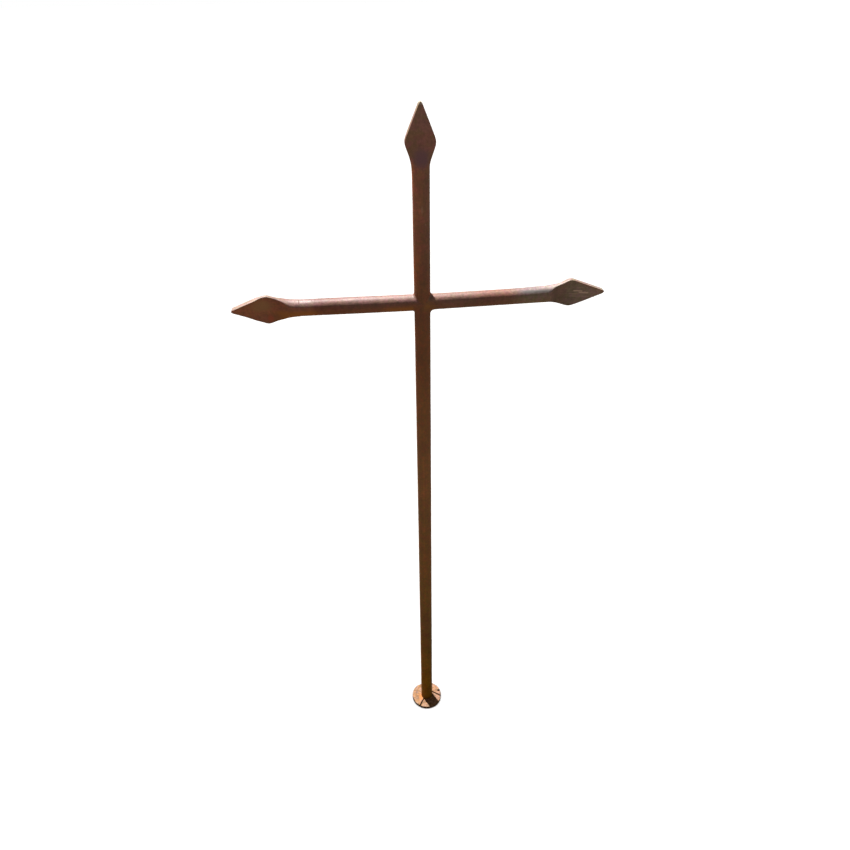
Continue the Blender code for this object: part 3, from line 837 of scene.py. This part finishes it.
def right_extras(n, colour, split, mottle, upward):
    colour = weld_stain_and_glow(n, colour, mottle)
    x = split.outputs["X"]
    z = n.math("SUBTRACT", split.outputs["Z"], n.math("MULTIPLY_ADD", x, math.tan(RIGHT_ARM_RISE), ARM_HEIGHT))
    # painted reflection of the sky: a blue-grey band along the outer run of the bar
    band = n.math("MULTIPLY", n.range(z, 0.0052, 0.0076), n.range(z, 0.0088, 0.0098, 1.0, 0.0))
    band = n.math("MULTIPLY", band, n.math("MULTIPLY", n.range(x, 0.122, 0.134), n.range(x, 0.160, 0.172, 1.0, 0.0)))
    colour = n.mix(n.math("MULTIPLY", band, n.range(mottle, 0.30, 0.50, 0.75, 1.0)), colour, (0.138, 0.130, 0.122))
    # rust brown just under the outer top edge, with painted light from the narrow edge face lit at a grazing angle
    edge = n.math("MULTIPLY_ADD", x, -0.401, 0.401 * RIGHT_ARM_REACH + 0.097 * UNIT)
    drop = n.math("SUBTRACT", edge, z)
    rust_and_edge_light = n.math("MULTIPLY", n.range(drop, 0.0006, 0.0028, 1.0, 0.0), n.range(x, 0.196, 0.206))
    rust_and_edge_light = n.math("MULTIPLY", rust_and_edge_light, n.math("SUBTRACT", 1.0, upward))
    colour = n.mix(n.math("MULTIPLY", rust_and_edge_light, 0.80), colour, (0.340, 0.150, 0.060))
    # light scratches in the middle of the point
    turned = n.mapping(rotation=(0.0, math.radians(7), 0.0), scale=(0.050, 1.0, 1.0))
    lines = n.range(n.noise(900.0, 1.0, 0.4, turned), 0.56, 0.66)
    crossed = n.mapping(rotation=(0.0, math.radians(-14), 0.0), scale=(0.07, 1.0, 1.0), location=(0.3, 0, 0.2))
    lines = n.math("MAXIMUM", lines, n.range(n.noise(1100.0, 1.0, 0.4, crossed), 0.62, 0.70))
    here = n.near((0.2070, -0.004, ARM_HEIGHT + 0.0035), 0.005, 0.009, (0.60, 0.0, 1.1))
    colour = n.mix(n.math("MULTIPLY", n.math("MULTIPLY", lines, here), 0.55), colour, (0.52, 0.42, 0.33))
    # and two longer ones
    for start, end in (((0.1965, 0.0044), (0.2085, 0.0032)), ((0.2045, 0.0014), (0.2165, 0.0006))):
        run = n.range(x, start[0], end[0], 0.0, 1.0, smooth=False)
        level = n.math("MULTIPLY_ADD", run, end[1] - start[1], start[1])
        line = n.range(n.math("ABSOLUTE", n.math("SUBTRACT", z, level)), 0.0005, 0.0012, 1.0, 0.0)
        length = n.math("MULTIPLY", n.range(x, start[0] - 0.001, start[0] + 0.001), n.range(x, end[0] - 0.001, end[0] + 0.001, 1.0, 0.0))
        colour = n.mix(n.math("MULTIPLY", n.math("MULTIPLY", line, length), 0.80), colour, (0.68, 0.56, 0.46))
    return colour


def plate_iron():
    """Rust-brown plate: mottled top, a darker rim that is painted shade, and black marks and pit, dirt with painted
    shade.
    """
    n = Nodes("plate_surface")
    split = n.add("ShaderNodeSeparateXYZ")
    n.link(n.position, split.inputs[0])
    up = n.add("ShaderNodeSeparateXYZ")
    geometry = n.add("ShaderNodeNewGeometry")
    n.link(geometry.outputs["Normal"], up.inputs[0])
    top = n.math("MULTIPLY", n.range(up.outputs["Z"], 0.55, 0.85),
                 n.range(split.outputs["Z"], PLATE_THICKNESS - 0.0012, PLATE_THICKNESS - 0.0006))
    patches = n.noise(215.0, 2.0, 0.5)
    pale = n.noise(260.0, 2.0, 0.5, n.mapping(location=(7.3, 2.2, 1.1)))
    hue = n.noise(190.0, 3.0, 0.55, n.mapping(location=(3.1, 1.7, 0.4)))
    specks = n.noise(420.0, 3.0, 0.6)
    # more tan on the left, rosier on the right
    hue = n.math("MULTIPLY_ADD", split.outputs["X"], 2.6, hue)
    face = n.mix(n.range(hue, 0.38, 0.62), PLATE_TAN, PLATE_ROSE)
    face = n.multiply(face, n.mix(n.range(patches, 0.37, 0.63), (0.66, 0.64, 0.56), (1.28, 1.30, 1.36)))
    face = n.multiply(face, n.mix(n.range(specks, 0.35, 0.66), (0.76, 0.75, 0.73), (1.20, 1.22, 1.24)))
    face = n.mix(n.range(pale, 0.52, 0.66, 0.0, 0.75), face, (0.275, 0.172, 0.104))
    face = n.mix(n.range(pale, 0.33, 0.45, 0.60, 0.0), face, (0.185, 0.082, 0.006))
    # painted shade: darker and less blue towards the front, where the upright's shadow falls
    front = n.range(split.outputs["Y"], -0.027, -0.010, 1.0, 0.0)
    face = n.multiply(face, n.mix(front, (0.97, 0.96, 0.95), (0.90, 0.92, 0.84)))
    # painted reflected light: orange beside the upright, thrown onto the plate from its lit side
    face = n.mix(n.near((-0.0112, -0.0045, PLATE_THICKNESS), 0.0014, 0.0052, (1.0, 0.60, 0.0)), face, (0.350, 0.125, 0.010))
    # painted shade: the rim takes a much darker colour than the top
    rim = n.mix(n.range(patches, 0.40, 0.62), (0.050, 0.026, 0.011), (0.085, 0.046, 0.022))
    colour = n.mix(top, rim, face)
    # black in the marks and the pit: dirt in them, with painted shade
    crevice = n.attribute("crevice")
    colour = n.mix(n.range(crevice, 0.08, 0.50), colour, (0.016, 0.006, 0.003))
    n.put(n.shader.inputs["Base Color"], colour)
    n.put(n.shader.inputs["Specular IOR Level"], n.range(crevice, 0.1, 0.5, 0.35, 0.05))
    n.put(n.shader.inputs["Roughness"], n.range(specks, 0.3, 0.7, 0.50, 0.64))
    height = n.math("ADD", n.math("MULTIPLY", specks, 0.6), n.math("MULTIPLY", n.noise(1400.0, 2.0, 0.6), 0.4))
    bump = n.add("ShaderNodeBump")
    bump.inputs["Strength"].default_value = 0.6
    bump.inputs["Distance"].default_value = 0.0003
    n.link(height, bump.inputs["Height"])
    n.link(bump.outputs["Normal"], n.shader.inputs["Normal"])
    return n.material


# ---------------------------------------------------------------- the cross
upright = make_upright()
left_arm = make_arm("left_bar", -1.0, LEFT_ARM_REACH, LEFT_ARM_RADIUS, LEFT_ARM_RISE,
                    (0.0036, 0.0034), LEFT_SPEAR, 8.3)
right_arm = make_arm("right_bar", 1.0, RIGHT_ARM_REACH, RIGHT_ARM_RADIUS, RIGHT_ARM_RISE,
                     (0.0056, 0.0038), RIGHT_SPEAR, 15.9)
foot = make_foot_plate()

upright.data.materials.append(iron(
    "upright_surface", 2, 0.0, TOTAL_HEIGHT, UPRIGHT_TONES, UPRIGHT_LIT_TOP, upright_level, 0.53, 105.0, 0.9,
    upright_extras))
left_arm.data.materials.append(iron(
    "left_surface", 0, -LEFT_ARM_REACH, 0.0, LEFT_TONES, LEFT_LIT_TOP, left_level, 0.55, 190.0, 0.7, left_extras))
right_arm.data.materials.append(iron(
    "right_surface", 0, 0.0, RIGHT_ARM_REACH, RIGHT_TONES, RIGHT_LIT_TOP, right_level, 0.565, 190.0, 0.7,
    right_extras))
foot.data.materials.append(plate_iron())

for piece, node, slot in ((upright, "upright", "upright_iron"), (left_arm, "left_arm", "arm_iron"),
                          (right_arm, "right_arm", "arm_iron"), (foot, "foot_plate", "foot_plate_iron")):
    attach(piece, "root")
    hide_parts(node)

# ---------------------------------------------------------------- the stage
bpy.ops.mesh.primitive_plane_add(size=60.0, location=(0, 0, 0))
floor = bpy.context.object
floor.name = "floor"
paint = bpy.data.materials.new("pale_floor")
paint.use_nodes = True
paint.node_tree.nodes["Principled BSDF"].inputs["Base Color"].default_value = (0.88, 0.88, 0.87, 1)
paint.node_tree.nodes["Principled BSDF"].inputs["Roughness"].default_value = 0.9
paint.node_tree.nodes["Principled BSDF"].inputs["Specular IOR Level"].default_value = 0.0
floor.data.materials.append(paint)
floor.visible_diffuse = False
floor.visible_glossy = False
floor.visible_shadow = False


def lamp(name, direction, strength, colour, angle, receivers):
    data = bpy.data.lights.new(name, "SUN")
    data.energy = strength
    data.color = colour
    data.angle = math.radians(angle)
    item = bpy.data.objects.new(name, data)
    bpy.context.collection.objects.link(item)
    item.rotation_euler = Vector(direction).to_track_quat("Z", "Y").to_euler()
    group = bpy.data.collections.new(name + "_lit")
    for r in receivers:
        group.objects.link(r)
    item.light_linking.receiver_collection = group
    return item


azimuth, elevation = math.radians(118.0), math.radians(60.0)
key_way = (math.cos(elevation) * math.cos(azimuth), math.cos(elevation) * math.sin(azimuth), math.sin(elevation))
lamp("key", key_way, 9.2, (1.0, 0.93, 0.91), 1.2, [upright, left_arm, right_arm, foot])
lamp("floor_light", (0, 0, 1), 3.9, (1.0, 1.0, 1.0), 70.0, [floor])

world = bpy.data.worlds.new("studio")
bpy.context.scene.world = world
world.use_nodes = True
w = world.node_tree
w.nodes.clear()
out = w.nodes.new("ShaderNodeOutputWorld")
coords = w.nodes.new("ShaderNodeTexCoord")
split = w.nodes.new("ShaderNodeSeparateXYZ")
w.links.new(coords.outputs["Generated"], split.inputs[0])
ramp = w.nodes.new("ShaderNodeMapRange")
ramp.inputs["From Min"].default_value = -1.0
ramp.inputs["From Max"].default_value = 1.0
w.links.new(split.outputs["Z"], ramp.inputs["Value"])
tone = w.nodes.new("ShaderNodeValToRGB")
w.links.new(ramp.outputs["Result"], tone.inputs["Fac"])
tone.color_ramp.interpolation = "EASE"
stops = tone.color_ramp.elements
stops[0].position, stops[0].color = 0.20, (0.28, 0.185, 0.120, 1)     # warm light from the ground
stops[1].position, stops[1].color = 0.90, (0.150, 0.145, 0.150, 1)    # soft light from overhead
level_light = stops.new(0.52)
level_light.color = (0.32, 0.255, 0.215, 1)
around = w.nodes.new("ShaderNodeBackground")
w.links.new(tone.outputs["Color"], around.inputs["Color"])
seen = w.nodes.new("ShaderNodeBackground")
seen.inputs["Color"].default_value = (1.0, 1.0, 1.0, 1)
pick = w.nodes.new("ShaderNodeMixShader")
path = w.nodes.new("ShaderNodeLightPath")
w.links.new(path.outputs["Is Camera Ray"], pick.inputs["Fac"])
w.links.new(around.outputs[0], pick.inputs[1])
w.links.new(seen.outputs[0], pick.inputs[2])
w.links.new(pick.outputs[0], out.inputs["Surface"])

bpy.context.scene.view_settings.view_transform = "Standard"

# ---------------------------------------------------------------- the camera
yaw, pitch, roll = 0.10249, 0.59541, 0.01012
forward = Vector((math.sin(yaw) * math.cos(pitch), math.cos(yaw) * math.cos(pitch), -math.sin(pitch)))
level = Vector((math.cos(yaw), -math.sin(yaw), 0.0))
drop = forward.cross(level)
right = math.cos(roll) * level + math.sin(roll) * drop
down = -math.sin(roll) * level + math.cos(roll) * drop
camera_data = bpy.data.cameras.new("camera")
camera_data.sensor_fit = "HORIZONTAL"
camera_data.sensor_width = 36.0
camera_data.lens = 678.77 * 36.0 / 850.0
camera_data.clip_start = 0.01
camera_data.clip_end = 200.0
camera = bpy.data.objects.new("camera", camera_data)
bpy.context.collection.objects.link(camera)
turn = Matrix((right, -down, -forward)).transposed()
place = Vector((-4.0422 * UNIT, -40.2236 * UNIT, 59.3511 * UNIT + PLATE_THICKNESS))
camera.matrix_world = Matrix.Translation(place) @ turn.to_4x4()
bpy.context.scene.camera = camera
